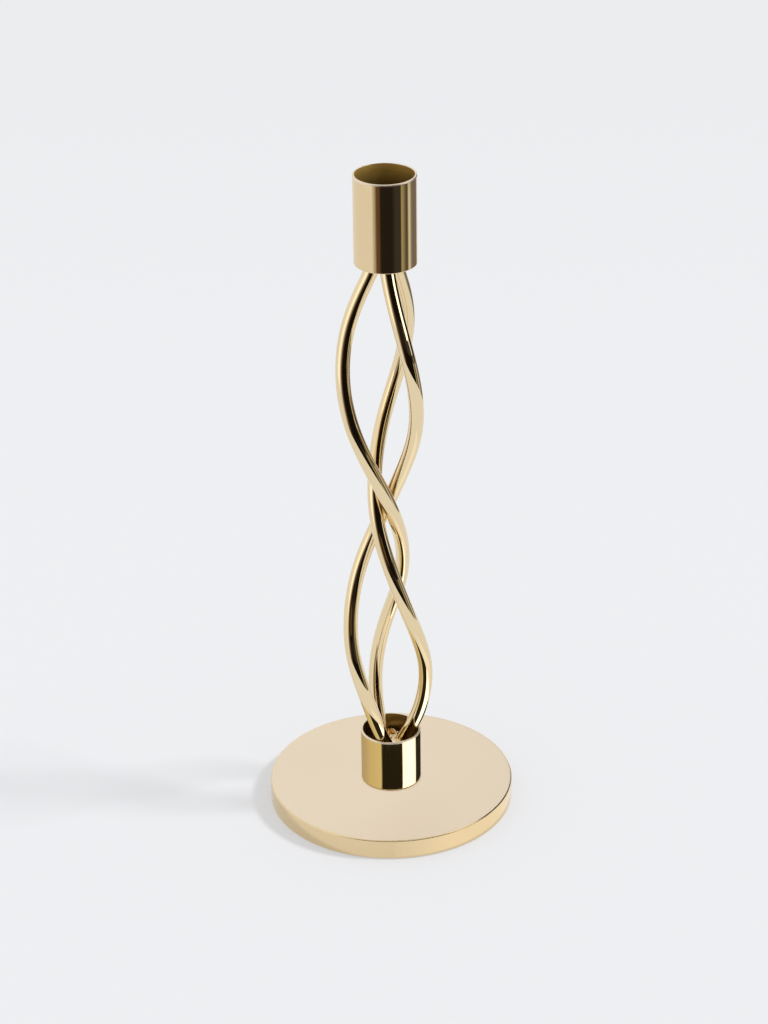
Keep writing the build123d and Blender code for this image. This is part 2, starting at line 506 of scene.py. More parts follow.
@dataclass(frozen=True)
class PaperFloor:
    """Pale studio paper with a soft grain, a little greyer far behind the holder."""

    colour: Colour = (0.862, 0.870, 0.888)
    far_colour: Colour = (0.835, 0.838, 0.852)
    roughness: float = 0.9
    glow_share: float = 0.45
    glow: Colour = (0.855, 0.863, 0.879)
    far_glow: Colour = (0.828, 0.834, 0.848)
    fade_start: float = 0.1
    fade_end: float = 1.5
    grain: Grain = Grain(900.0)
    grain_depth: float = 10.0 * MICRON

    def material(self) -> bpy.types.Material:
        """Builds the material, part of whose tone is a glow, which keeps the shadow on it soft.

        Returns:
            The material.
        """
        sheet = NodeSheet(bpy.data.materials.new("studio_paper"))
        depth = sheet.node("SeparateXYZ", {0: sheet.node("TexCoord").outputs["Object"]}).outputs[1]
        fade = sheet.node("MapRange", {
            "Value": depth, "From Min": self.fade_start, "From Max": self.fade_end,
        }, interpolation_type="SMOOTHSTEP").outputs[0]
        paper = sheet.node("BsdfPrincipled", {
            "Base Color": sheet.blend(fade, self.colour, self.far_colour),
            "Roughness": self.roughness,
            "Specular IOR Level": 0.0,
            "Normal": sheet.bump(sheet.lay(self.grain), self.grain_depth),
        }).outputs[0]
        glow = sheet.node("Emission", {"Color": sheet.blend(fade, self.glow, self.far_glow)}).outputs[0]
        return sheet.end(sheet.node("MixShader", {0: self.glow_share, 1: paper, 2: glow}).outputs[0])


@dataclass(frozen=True)
class CardGlow:
    """What a studio card shows to mirror-like surfaces: tones that run across it."""

    name: str
    tones: Tones
    strength: float = 1.0
    one_sided: bool = False
    underside_glow_share: float = 0.0
    # The pale glow of a one-sided card's underside, a painted reflection
    haze: Colour = (0.92, 0.905, 0.89)

    def material(self) -> bpy.types.Material:
        """Builds the material, whose tones run along the card's UV map.

        A one-sided card is clear from behind, or partly glows pale there where it has an underside glow
        share: a painted reflection for what lies below it.

        Returns:
            The material.
        """
        sheet = NodeSheet(bpy.data.materials.new(self.name))
        across = sheet.node("SeparateXYZ", {0: sheet.node("TexCoord").outputs["UV"]}).outputs[0]
        ramp = sheet.node("ValToRGB", {0: across})
        stops = ramp.color_ramp.elements
        for at, _ in self.tones[len(stops):]:
            stops.new(at)
        for stop, (at, tone) in zip(stops, self.tones):
            stop.position = at
            stop.color = (*tone, 1.0)
        shade = sheet.node("Emission", {"Color": ramp.outputs[0], "Strength": self.strength}).outputs[0]
        if self.one_sided:
            behind = sheet.node("NewGeometry").outputs["Backfacing"]
            clear = sheet.node("BsdfTransparent").outputs[0]
            if self.underside_glow_share:
                # The underside's pale glow, a painted reflection for what lies below the card
                haze = sheet.node("Emission", {"Color": self.haze}).outputs[0]
                clear = sheet.node("MixShader", {0: self.underside_glow_share, 1: clear, 2: haze}).outputs[0]
            shade = sheet.node("MixShader", {0: behind, 1: shade, 2: clear}).outputs[0]
        return sheet.end(shade)


@dataclass(frozen=True)
class ProfilePoint:
    """A point of a turned outline: radius and height, and which way the surface faces there."""

    radius: float
    height: float
    out: float
    up: float


@dataclass
class Outline:
    """A closed outline that is turned about the upright axis: flats joined by round edges."""

    points: list[ProfilePoint] = field(default_factory=list)

    def flats(self, corners: list[Pair], cuts: tuple[int, ...] = (1,)) -> None:
        """Adds straight runs from corner to corner. Each faces the side on its right.

        Args:
            corners: Their radii and heights.
            cuts: How many lengths each run is cut into.
        """
        for start, end, count in zip(corners, corners[1:], cuts):
            along, rise, length = end[0] - start[0], end[1] - start[1], math.dist(start, end)
            for cut in range(count + 1):
                share = cut / count
                self.points.append(ProfilePoint(
                    start[0] + along * share, start[1] + rise * share, rise / length, -along / length))

    def bend(self, centre: Pair, radius: float, start: float, end: float, cuts: int = 6) -> None:
        """Adds a round edge, without its two ends, which belong to the flats beside it.

        Args:
            centre: Radius and height of the round's centre.
            radius: The round's radius.
            start: The angle where it starts, in degrees, 0 outward and 90 up.
            end: The angle where it ends.
            cuts: How many lengths the round is cut into.
        """
        for cut in range(1, cuts):
            turn = math.radians(start + (end - start) * cut / cuts)
            out, up = math.cos(turn), math.sin(turn)
            self.points.append(ProfilePoint(centre[0] + radius * out, centre[1] + radius * up, out, up))


@dataclass(frozen=True)
class Turning:
    """Makes a mesh by turning an outline about the upright axis."""

    sides: int = 192

    def build(self, name: str, outline: Outline) -> bpy.types.Object:
        """Turns a closed outline that doesn't reach the axis.

        Args:
            name: The object's name.
            outline: The outline, in order, anticlockwise as radius runs right and height up.

        Returns:
            The turned object, with the exact normals of its outline.
        """
        verts, normals, faces = [], [], []
        count = len(outline.points)
        for side in range(self.sides):
            turn = math.tau * side / self.sides
            across, deep = math.cos(turn), math.sin(turn)
            for point in outline.points:
                verts.append((point.radius * across, point.radius * deep, point.height))
                normals.append((point.out * across, point.out * deep, point.up))
        for side in range(self.sides):
            here, beside = side * count, (side + 1) % self.sides * count
            for step in range(count):
                after = (step + 1) % count
                faces.append((here + step, beside + step, beside + after, here + after))
        return mesh_object(name, verts, faces, normals)


def mesh_object(
    name: str, verts: list[Point], faces: list[tuple[int, ...]], normals: list[Point] | None = None,
) -> bpy.types.Object:
    """Makes a smooth mesh object and links it to the scene.

    Args:
        name: The object's name.
        verts: The points, in metres.
        faces: The faces, as numbers of points.
        normals: The surface's exact direction at each point.

    Returns:
        The object.
    """
    mesh = bpy.data.meshes.new(name)
    mesh.from_pydata(verts, [], faces)
    mesh.validate()
    mesh.shade_smooth()
    if normals is not None:
        mesh.normals_split_custom_set_from_vertices(normals)
    made = bpy.data.objects.new(name, mesh)
    bpy.context.scene.collection.objects.link(made)
    return made


def closed_faces(sides: int, count: int, upward: bool = False) -> list[tuple[int, ...]]:
    """Gives the faces of a round piece whose outlines all run from point 0 to point 1, on the axis.

    Args:
        sides: How many outlines stand round it.
        count: How many points each has between the two on the axis.
        upward: Whether the outlines run upward.

    Returns:
        The faces, as numbers of points.
    """
    faces = []
    for side in range(sides):
        first, second = 2 + side * count, 2 + (side + 1) % sides * count
        faces += [(0, first, second), (1, second + count - 1, first + count - 1)]
        for here in range(first, first + count - 1):
            beside = here + second - first
            faces.append((here, here + 1, beside + 1, beside))
    return [face[:1] + face[:0:-1] for face in faces] if upward else faces


def dress(made: bpy.types.Object, slot: Slot, *nodes: str) -> bpy.types.Object:
    """Rides a new piece on the holder's body and hides the CAD nodes that it replaces.

    Args:
        made: The piece.
        slot: The record's material slot; not used.
        nodes: The CAD nodes that it replaces.

    Returns:
        The piece.
    """
    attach(made, BODY)
    if nodes:
        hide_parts(*nodes)
    LOG.info("%s: %d faces", made.name, len(made.data.polygons))
    return made


def finish_node(frame: dict, node: str, material: bpy.types.Material) -> None:
    """Gives a CAD node its material.

    Args:
        node: The node's name.
        material: The material for every slot of it.
    """
    slots = frame["nodes"][node].material_slots
    for slot in slots:
        slot.material = material
    LOG.info("%s: CAD node, finished as %s", node, material.name)


@dataclass(frozen=True)
class RodRoute:
    """The centre line of the first rod: straight at both ends, one smooth curve between them."""

    foot_height: float = 17.3 * MM
    head_height: float = 246.8 * MM
    straight: float = 1.5 * MM
    collar_top: float = 31.5 * MM
    bundle_reach: float = 3.4186 * MM
    rim_reach: float = 8.018 * MM
    belly_reach: float = 16.8 * MM
    twist_start: float = 140.0
    twist_turn: float = -348.0
    rim_turn_share: float = 0.041
    swell_shares: tuple[float, ...] = (0.82, 0.96, 0.80, 0.46, 0.06, 0.24, 0.73, 1, 0.92, 0.44, 0)
    turn_shares: tuple[float, ...] = (0.077, 0.130, 0.197, 0.274, 0.448, 0.737, 0.830, 0.882, 0.921, 0.955, 1)

    def place(self, reach: float, turn_share: float, height: float) -> np.ndarray:
        """Gives a point of the route.

        Args:
            reach: Its distance from the axis.
            turn_share: The share of the whole turn made there.
            height: Its height.

        Returns:
            The point.
        """
        turn = math.radians(self.twist_start + turn_share * self.twist_turn)
        return np.array((reach * math.cos(turn), reach * math.sin(turn), height))

    def knots(self) -> np.ndarray:
        """Gives the points that the curve goes through.

        Returns:
            The points, from the foot to the head.
        """
        bottom, top = self.foot_height + self.straight, self.head_height - self.straight
        points = [
            self.place(self.bundle_reach, 0.0, bottom),
            self.place(self.rim_reach, self.rim_turn_share, self.collar_top),
        ]
        step = (top - self.collar_top) / len(self.swell_shares)
        for number, (swell, turn) in enumerate(zip(self.swell_shares, self.turn_shares), start=1):
            reach = self.bundle_reach + swell * (self.belly_reach - self.bundle_reach)
            points.append(self.place(reach, turn, self.collar_top + number * step))
        return np.array(points)

    def line(self, spacing: float) -> np.ndarray:
        """Samples the route, a cubic spline through its knots that starts and ends upright.

        Args:
            spacing: The distance between samples.

        Returns:
            The samples.
        """
        knots = self.knots()
        lengths = np.linalg.norm(np.diff(knots, axis=0), axis=1)
        count = len(knots)
        system, known = np.zeros((count, count)), np.zeros((count, 3))
        system[0, 0] = system[-1, -1] = 1.0
        known[0] = known[-1] = UPRIGHT
        for row in range(1, count - 1):
            before, after = lengths[row - 1], lengths[row]
            system[row, row - 1: row + 2] = (after, 2.0 * (before + after), before)
            rise, next_rise = knots[row] - knots[row - 1], knots[row + 1] - knots[row]
            known[row] = 3.0 * (after * rise / before + before * next_rise / after)
        slopes = np.linalg.solve(system, known)
        points = [knots[0] - self.straight * np.array(UPRIGHT)]
        for span, length in enumerate(lengths):
            steps = max(2, round(length / spacing))
            start, end = knots[span], knots[span + 1]
            for step in range(steps):
                share = step / steps
                square, cube = share**2, share**3
                points.append(
                    (2 * cube - 3 * square + 1) * start + (cube - 2 * square + share) * length * slopes[span]
                    + (3 * square - 2 * cube) * end + (cube - square) * length * slopes[span + 1])
        return np.array(points + [knots[-1], knots[-1] + self.straight * np.array(UPRIGHT)])


@dataclass
class TwistedRods:
    """The three rods, twisted into two baskets about a tight waist."""

    route: RodRoute = field(default_factory=RodRoute)
    radius: float = 2.9 * MM
    sides: int = 40
    spacing: float = 0.7 * MM
    names: tuple[str, ...] = ("spiral_rod_1", "spiral_rod_2", "spiral_rod_3")
    bow: float = 1.35 * MM
    bow_rise: Pair = (34.0 * MM, 80.0 * MM)
    bow_fall: Pair = (150.0 * MM, 206.0 * MM)

    def bowed(self, points: np.ndarray) -> np.ndarray:
        """Leans points to the left between the collar and the upper basket, as the hand-bent rods do.

        Args:
            points: The points of a rod's route.

        Returns:
            The moved points.
        """
        def ease(ends: Pair) -> np.ndarray:
            """Runs smoothly from 0 to 1 between two heights."""
            share = np.clip((points[:, 2] - ends[0]) / (ends[1] - ends[0]), 0.0, 1.0)
            return share**2 * (3.0 - 2.0 * share)

        moved = points.copy()
        moved[:, 0] -= self.bow * ease(self.bow_rise) * (1.0 - ease(self.bow_fall))
        return moved

    def rod(self, number: int) -> bpy.types.Object:
        """Builds one rod as a round bar along the route.

        Args:
            number: Which rod, from 0.

        Returns:
            The rod's object, with a UV map that runs round it and, in millimetres, along it.
        """
        points = self.route.line(self.spacing)
        turned = np.array(Matrix.Rotation(math.tau * number / len(self.names), 3, "Z"))
        points = self.bowed(points @ turned.T)
        directions = np.gradient(points, axis=0)
        directions[0] = directions[-1] = UPRIGHT
        directions /= np.linalg.norm(directions, axis=1)[:, None]
        side = np.cross(directions[0], BACKWARD)
        turns = np.arange(self.sides) * math.tau / self.sides
        verts, normals = [], []
        for point, direction in zip(points, directions):
            side = side - direction * (side @ direction)
            side /= np.linalg.norm(side)
            other = np.cross(direction, side)
            for out in np.outer(np.cos(turns), side) + np.outer(np.sin(turns), other):
                verts.append(tuple(point + self.radius * out))
                normals.append(tuple(out))
        faces = []
        for ring in range(len(points) - 1):
            for edge in range(self.sides):
                low, high, beside = ring * self.sides, (ring + 1) * self.sides, (edge + 1) % self.sides
                faces.append((low + edge, low + beside, high + beside, high + edge))
        last = (len(points) - 1) * self.sides
        faces.append(tuple(range(self.sides))[::-1])
        faces.append(tuple(last + edge for edge in range(self.sides)))
        made = mesh_object(f"rod_{number + 1}_polished", verts, faces, normals)
        lengths = np.linalg.norm(np.diff(points, axis=0), axis=1)
        along = np.concatenate([[0.0], np.cumsum(lengths)]) / MM
        layer = made.data.uv_layers.new(name="round_and_along")
        for index, face in enumerate(made.data.polygons[:-2]):
            ring, edge = divmod(index, self.sides)
            for loop, (beside, up) in zip(face.loop_indices, ((0, 0), (1, 0), (1, 1), (0, 1))):
                layer.data[loop].uv = ((edge + beside) / self.sides, along[ring + up])
        return made

    def build(self) -> None:
        """Builds and dresses the three rods."""
        finish = POLISHED_ROD.material()
        for number, node in enumerate(self.names):
            made = self.rod(number)
            made.data.materials.append(finish)
            dress(made, Slot.POLISHED_BRASS, node)


@dataclass(frozen=True)
class TubeFinishes:
    """The three finishes that both tubes share."""

    outside: bpy.types.Material
    bore: bpy.types.Material
    lip: bpy.types.Material


@dataclass
class RoundTube:
    """A polished tube with a bored inside, round lips, and a step in its bore where it has one."""

    name: str
    node: str
    radius: float
    bore_radius: float
    bottom: float
    top: float
    step_height: float = 0.0
    foot_bore_radius: float = 0.0
    lip_round: float = 0.4 * MM
    lip_break: float = 0.2 * MM
    lip_depth: float = 0.65 * MM
    outer_cuts: tuple[int, ...] = (4, 1)
    inner_cuts: tuple[int, ...] = (4, 1, 2)
    break_cuts: int = 5

    def outline(self) -> Outline:
        """Draws the tube's wall, anticlockwise from its outer foot.

        Returns:
            The outline.
        """
        outer, bore, bottom, top = self.radius, self.bore_radius, self.bottom, self.top
        foot = self.foot_bore_radius or bore
        lip, chip = self.lip_round, self.lip_break
        inside = [(bore, top - chip), (foot, bottom + chip)]
        if self.foot_bore_radius:
            inside[1:1] = [(bore, self.step_height), (foot, self.step_height)]
        made = Outline()
        edge = top - self.lip_depth
        made.flats([(outer, bottom + lip), (outer, edge), (outer, top - lip)], self.outer_cuts)
        made.bend((outer - lip, top - lip), lip, 0.0, 90.0)
        made.flats([(outer - lip, top), (bore + chip, top)])
        made.bend((bore + chip, top - chip), chip, 90.0, 180.0, self.break_cuts)
        made.flats(inside, self.inner_cuts)
        made.bend((foot + chip, bottom + chip), chip, 180.0, 270.0, self.break_cuts)
        made.flats([(foot + chip, bottom), (outer - lip, bottom)])
        made.bend((outer - lip, bottom + lip), lip, 270.0, 360.0)
        return made

    def build(self, finishes: TubeFinishes) -> bpy.types.Object:
        """Turns the tube and dresses it.

        Args:
            finishes: The materials for its outside, its bore and its upper lip.

        Returns:
            The tube.
        """
        made = Turning().build(self.name, self.outline())
        for material in (finishes.outside, finishes.bore, finishes.lip):
            made.data.materials.append(material)
        limit = self.bore_radius + self.lip_break / 2
        for face in made.data.polygons:
            middle = face.center
            reach = math.hypot(middle.x, middle.y)
            lip = middle.z > self.top - (self.lip_depth if reach > limit else self.lip_break)
            face.material_index = 2 if lip else int(reach < limit)
        return dress(made, Slot.POLISHED_BRASS, self.node)


@dataclass
class WeightedFoot:
    """The heavy base with its satin top and polished rim, and the felt under it."""

    radius: float = 50.0 * MM
    bottom: float = 0.4 * MM
    top: float = 8.8 * MM
    top_round: float = 0.6 * MM
    bottom_round: float = 0.4 * MM
    recess_radius: float = 46.0 * MM
    recess_top: float = 1.2 * MM
    counterbore_radius: float = 6.25 * MM
    counterbore_top: float = 5.7 * MM
    hole_radius: float = 3.3 * MM
    rim_cuts: tuple[int, ...] = (3,)
    round_cuts: int = 8
    inner_cuts: tuple[int, ...] = (12, 1, 1, 1, 4, 1, 1)
    felt_radius: float = 45.75 * MM
    felt_thickness: float = 1.0 * MM
    felt_round: float = 0.3 * MM
    felt_rings: int = 46
    felt_edge_steps: int = 12
    felt_dip: float = 0.02 * MM
    felt_dip_waves: int = 9
    felt_dips_per_metre: float = 900.0
    top_margin: float = 0.01 * MM
    sides: int = 192

    def disc_outline(self) -> Outline:
        """Draws the base, anticlockwise from the foot of its rim, round to the recess below.

        Returns:
            The outline.
        """
        outer, low, high = self.radius, self.bottom_round, self.top_round
        hole, counterbore, recess = self.hole_radius, self.counterbore_radius, self.recess_radius
        step, roof = self.counterbore_top, self.recess_top
        made = Outline()
        made.flats([(outer, self.bottom + low), (outer, self.top - high)], self.rim_cuts)
        made.bend((outer - high, self.top - high), high, 0.0, 90.0, self.round_cuts)
        made.flats([
            (outer - high, self.top), (hole, self.top), (hole, step), (counterbore, step),
            (counterbore, roof), (recess, roof), (recess, self.bottom), (outer - low, self.bottom),
        ], self.inner_cuts)
        made.bend((outer - low, self.bottom + low), low, 270.0, 360.0)
        return made

    def disc(self) -> bpy.types.Object:
        """Turns the base and gives its top and its rim their own finishes.

        Returns:
            The base.
        """
        made = Turning(self.sides).build("base_disc_turned", self.disc_outline())
        made.data.materials.append(POLISHED_EDGE.material())
        made.data.materials.append(SATIN_TOP.material())
        for face in made.data.polygons:
            face.material_index = int(face.center.z > self.top - self.top_margin)
        return dress(made, Slot.SATIN_BRASS, "base_disc")

    def felt(self) -> bpy.types.Object:
        """Builds the felt: a disc with a soft edge whose upper side is slightly uneven.

        Returns:
            The felt.
        """
        soft, top, half = self.felt_round, self.felt_thickness, self.felt_thickness / 2
        flat = self.felt_radius - soft
        rings = [flat * ring / self.felt_rings for ring in range(1, self.felt_rings + 1)]
        profile = [(radius, 0.0) for radius in rings]
        for step in range(1, self.felt_edge_steps):
            turn = math.pi * step / self.felt_edge_steps - math.pi / 2
            profile.append((flat + soft * math.cos(turn), half + half * math.sin(turn)))
        profile += [(radius, top) for radius in reversed(rings)]
        verts = [(0.0, 0.0, 0.0), (0.0, 0.0, top)]
        for side in range(self.sides):
            turn = math.tau * side / self.sides
            for radius, height in profile:
                if height > half:
                    wave = math.sin(self.felt_dip_waves * turn + self.felt_dips_per_metre * radius)
                    height -= self.felt_dip * (1.0 + wave)
                verts.append((radius * math.cos(turn), radius * math.sin(turn), height))
        pad = mesh_object("felt_pad_soft", verts, closed_faces(self.sides, len(profile), upward=True))
        pad.data.materials.append(PressedFelt().material())
        dress(pad, Slot.FELT, "base_felt_pad")
        return pad

    def build(self, frame: dict) -> None:
        """Builds the base and the felt, and finishes the film between them.
        """
        self.disc()
        self.felt()
        finish_node(frame, "pad_film", ClearFilm().material())


@dataclass
class OpenCollar:
    """The collar round the rods' feet, with the hub, the screw and its washer below it."""

    tube: RoundTube = field(default_factory=lambda: RoundTube(
        "collar_tube_polished", "lower_collar", radius=12.25 * MM, bore_radius=11.45 * MM,
        bottom=8.8 * MM, top=31.5 * MM))

    def build(self, frame: dict, finishes: TubeFinishes) -> None:
        """Builds the collar and finishes the pieces inside it.

        Args:
            finishes: The tubes' finishes.
        """
        self.tube.build(finishes)
        finish_node(frame, "collar_hub", TURNED_STEEL.material())
        plated = ZINC_PLATE.material()
        finish_node(frame, "fixing_screw", plated)
        finish_node(frame, "lock_washer", plated)


@dataclass
class CandleSocket:
    """The upper tube that holds the candle, with its floor."""

    tube: RoundTube = field(default_factory=lambda: RoundTube(
        "socket_tube_polished", "socket_tube", radius=12.25 * MM, bore_radius=11.45 * MM,
        bottom=238.0 * MM, top=273.8 * MM, step_height=249.8 * MM, foot_bore_radius=11.25 * MM))

    def build(self, frame: dict, finishes: TubeFinishes) -> None:
        """Builds the tube and finishes its floor.

        Args:
            finishes: The tubes' finishes.
        """
        self.tube.build(finishes)
        finish_node(frame, "socket_floor", finishes.bore)


@dataclass(frozen=True)
class Fold:
    """One family of folds in the mound, from whose crests the filler falls away.

    The rates are in radians for each millimetre, to the right and to the back.
    """

    share: float
    rates: Pair
    waver: float
    waver_rates: Pair
    waver_start: float = 0.0

    def depth(self, right: float, back: float) -> float:
        """Gives the family's share of the crumple at a place.

        Args:
            right: The place's distance to the right of the axis, in millimetres.
            back: Its distance behind the axis, in millimetres.

        Returns:
            The share, 0 at a crest.
        """
        wave = self.waver_rates[0] * right + self.waver_rates[1] * back + self.waver_start
        bent = self.waver * math.sin(wave)
        return self.share * abs(math.sin(self.rates[0] * right + self.rates[1] * back + bent))


@dataclass
class FillerMound:
    """The mound of filler among the rods, which froze in crumpled ridges below the collar's rim."""

    foot_height: float = 21.0 * MM
    foot_reach: float = 5.02 * MM
    shoulder_height: float = 25.4 * MM
    shoulder_reach: float = 6.418 * MM
    back_reach: float = 8.6 * MM
    crown_height: float = 27.0 * MM
    back_turn: float = 75.0
    back_power: int = 3
    crumple: float = 1.3 * MM
    folds: tuple[Fold, ...] = (
        Fold(0.5, (0.62, 0.31), 0.9, (0.0, 0.55), 0.4),
        Fold(0.34, (-0.48, 0.95), 0.8, (0.9, 0.0), -0.7),
        Fold(0.16, (1.9, 1.4), 0.6, (0.0, 2.1)),
    )
    ridge_rise: float = 1.5 * MM
    ridge_width: float = 0.55 * MM
    ridge_middle: Pair = (0.4 * MM, 5.9 * MM)
    ridge_half: float = 4.2 * MM
    ridge_turn: float = -40.0
    ridge_curve: float = 0.06
    top_share: float = 0.8
    rings: int = 60
    sides: int = 200

    def lift(self, across: float, deep: float) -> float:
        """Gives how far the top stands above its plain crown at a place.

        Args:
            across: The place's distance to the right of the axis.
            deep: Its distance behind the axis.

        Returns:
            The height: below zero in the folds, above it along the ridge between the two back rods.
        """
        folds = -self.crumple * sum(fold.depth(across / MM, deep / MM) for fold in self.folds)
        turn = math.radians(self.ridge_turn)
        away_right, away_back = across - self.ridge_middle[0], deep - self.ridge_middle[1]
        along = away_right * math.cos(turn) + away_back * math.sin(turn)
        aside = away_back * math.cos(turn) - away_right * math.sin(turn) + self.ridge_curve * along**2 / MM
        crest = math.exp(-((aside / self.ridge_width) ** 2)) * max(0.0, 1.0 - (along / self.ridge_half) ** 2)
        return folds * (1.0 - crest) + self.ridge_rise * crest

    def build(self, material: bpy.types.Material) -> bpy.types.Object:
        """Builds the mound and dresses it.

        Args:
            material: The filler's material.

        Returns:
            The mound.
        """
        verts = [(0.0, 0.0, self.crown_height + self.lift(0.0, 0.0)), (0.0, 0.0, self.foot_height)]
        for side in range(self.sides):
            turn = math.tau * side / self.sides
            behind = max(0.0, math.cos(turn - math.radians(self.back_turn))) ** self.back_power
            shoulder = self.shoulder_reach + (self.back_reach - self.shoulder_reach) * behind
            for ring in range(1, self.rings + 1):
                share = ring / self.rings
                if share <= self.top_share:
                    reach = shoulder * share / self.top_share
                    fall = (self.crown_height - self.shoulder_height) * (share / self.top_share) ** 2
                    height, keep = self.crown_height - fall, 1.0
                else:
                    down = (share - self.top_share) / (1.0 - self.top_share)
                    reach = shoulder + (self.foot_reach - shoulder) * down
                    height = self.shoulder_height + (self.foot_height - self.shoulder_height) * down
                    keep = (1.0 - down) ** 2
                across, deep = reach * math.cos(turn), reach * math.sin(turn)
                verts.append((across, deep, height + keep * self.lift(across, deep)))
        made = mesh_object("filler_mound_crumpled", verts, closed_faces(self.sides, self.rings))
        made.data.materials.append(material)
        return dress(made, Slot.BRAZE_FILLER, "mound_braze")


@dataclass
class BrazedJoints:
    """The rings of filler at the rods' two ends, and the mound of it inside the collar."""

    nodes: tuple[str, ...] = ("lower_braze", "upper_braze")
    mound: FillerMound = field(default_factory=FillerMound)

    def build(self, frame: dict) -> None:
        """Finishes both rings and builds the mound.
        """
        flowed = FLOWED_FILLER.material()
        for node in self.nodes:
            finish_node(frame, node, flowed)
        self.mound.build(flowed)


@dataclass(frozen=True)
class PhotographCamera:
    """The camera of the photograph."""

    place: Point = (12.36 * MM, -1049.09 * MM, 668.50 * MM)
    down: float = 27.1122
    aside: float = -0.7681
    roll: float = -0.6883
    lens: float = 104.457
    sensor: float = 36.0

    def build(self) -> None:
        """Adds the camera and makes it the scene's."""
        down, aside, roll = (math.radians(angle) for angle in (self.down, self.aside, self.roll))
        ahead = Vector((math.sin(aside) * math.cos(down), math.cos(aside) * math.cos(down), -math.sin(down)))
        right = Vector((math.cos(aside), -math.sin(aside), 0.0))
        above = right.cross(ahead)
        rolled_right = math.cos(roll) * right + math.sin(roll) * above
        rolled_above = -math.sin(roll) * right + math.cos(roll) * above
        data = bpy.data.cameras.new("photograph_camera")
        data.lens = self.lens
        data.sensor_width = self.sensor
        made = bpy.data.objects.new("photograph_camera", data)
        made.matrix_world = Matrix.Translation(self.place) @ Matrix(
            (rolled_right, rolled_above, -ahead)).transposed().to_4x4()
        bpy.context.scene.collection.objects.link(made)
        bpy.context.scene.camera = made


@dataclass(frozen=True)
class StudioCard:
    """A card, bent round the holder, that only mirror-like surfaces see.

    It stands upright, unless it leans in towards the holder above.
    """

    glow: CardGlow
    start: float
    end: float
    distance: float
    low: float
    high: float
    lean: float = 0.0
    steps: int = 24

    def build(self) -> bpy.types.Object:
        """Builds the card, whose angles are in degrees from the front, growing to the right.

        Returns:
            The card.
        """
        verts = []
        for step in range(self.steps + 1):
            turn = math.radians(self.start + (self.end - self.start) * step / self.steps)
            for height, distance in ((self.low, self.distance), (self.high, self.distance - self.lean)):
                verts.append((distance * math.sin(turn), -distance * math.cos(turn), height))
        return hang_card(self.glow, verts)


@dataclass(frozen=True)
class FootCard:
    """A flat ring of card over the foot, which the polished pieces mirror in place of the satin top.

    Its strips start at the collar and run the way in which the collar shows them to the front: a
    mirror that is turned by an angle turns what it shows by twice that angle.
    """

    glow: CardGlow
    inner: float = 12.3 * MM
    reach: float = 49.4 * MM
    height: float = 9.1 * MM
    steps: int = 240

    def build(self) -> bpy.types.Object:
        """Builds the card, whose tones run once round it from the back, by the left, to the front.

        Returns:
            The card.
        """
        verts = []
        for step in range(self.steps + 1):
            turn = math.tau * step / self.steps - math.pi
            start = self.inner * Vector((math.sin(turn), -math.cos(turn)))
            thrown = max(-math.pi, min(math.pi, 2.0 * turn))
            way = Vector((math.sin(thrown), -math.cos(thrown)))
            ahead = start.dot(way)
            end = start + (math.sqrt(ahead**2 - self.inner**2 + self.reach**2) - ahead) * way
            verts += [(*start, self.height), (*end, self.height)]
        return hang_card(self.glow, verts)


def hang_card(glow: CardGlow, verts: list[Point]) -> bpy.types.Object:
    """Makes a card's object, which only mirror-like surfaces see.

    Args:
        glow: The card's tones.
        verts: Its points in pairs, evenly along the tones.

    Returns:
        The card.
    """
    faces = [(first, first + 1, first + 3, first + 2) for first in range(0, len(verts) - 2, 2)]
    made = mesh_object(glow.name, verts, faces)
    layer = made.data.uv_layers.new(name="across")
    last = len(verts) // 2 - 1
    for loop in made.data.loops:
        layer.data[loop.index].uv = (loop.vertex_index // 2 / last, 0.5)
    made.data.materials.append(glow.material())
    made.visible_camera = made.visible_diffuse = made.visible_shadow = False
    made.visible_transmission = made.visible_volume_scatter = False
    made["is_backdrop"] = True
    return made


# The dark cards before the holder: their ends, in degrees, and their tones from left to right
FLAG_START = -43.0
FLAG_END = 57.0
FLAG_EDGE = (
    (0.0, (0.74, 0.73, 0.71)), (0.05, (0.57, 0.55, 0.51)), (0.09, (0.45, 0.42, 0.36)),
    (0.13, (0.21, 0.17, 0.13)))
FLAG_TONES = FLAG_EDGE + (
    (0.16, (0.11, 0.066, 0.04)), (0.20, (0.14, 0.075, 0.038)), (0.24, (0.14, 0.075, 0.036)),
    (0.27, (0.05, 0.036, 0.024)), (0.31, (0.02, 0.016, 0.013)), (0.67, (0.019, 0.016, 0.015)),
    (0.74, (0.034, 0.03, 0.026)), (0.80, (0.048, 0.043, 0.036)), (0.97, (0.045, 0.04, 0.034)),
    (1.0, (0.16, 0.13, 0.08)))
DEEP_TONES = FLAG_EDGE + (
    (0.16, (0.10, 0.06, 0.035)), (0.20, (0.12, 0.065, 0.03)), (0.24, (0.11, 0.06, 0.028)),
    (0.27, (0.03, 0.02, 0.012)), (0.31, (0.007, 0.006, 0.005)), (0.97, (0.007, 0.006, 0.005)),
    (1.0, (0.05, 0.04, 0.02)))
GLEAM_TONES = (
    (0.0, (0.03, 0.02, 0.012)), (0.2, (0.17, 0.115, 0.05)), (0.45, (0.05, 0.035, 0.02)),
    (0.6, (0.17, 0.115, 0.05)), (1.0, (0.03, 0.02, 0.012)))


def even(tone: Colour) -> Tones:
    """Gives a card one tone from edge to edge."""
    return (0.0, tone), (1.0, tone)


def front_flag(name: str, tones: Tones, distance: float, low: float, high: float) -> StudioCard:
    """Makes one of the dark cards before the holder, which all run between the same angles.

    Args:
        name: The card's name.
        tones: Its tones from left to right.
        distance: How far it stands from the axis.
        low: The height of its lower edge.
        high: The height of its upper edge.

    Returns:
        The card.
    """
    return StudioCard(CardGlow(name, tones), FLAG_START, FLAG_END, distance, low, high)


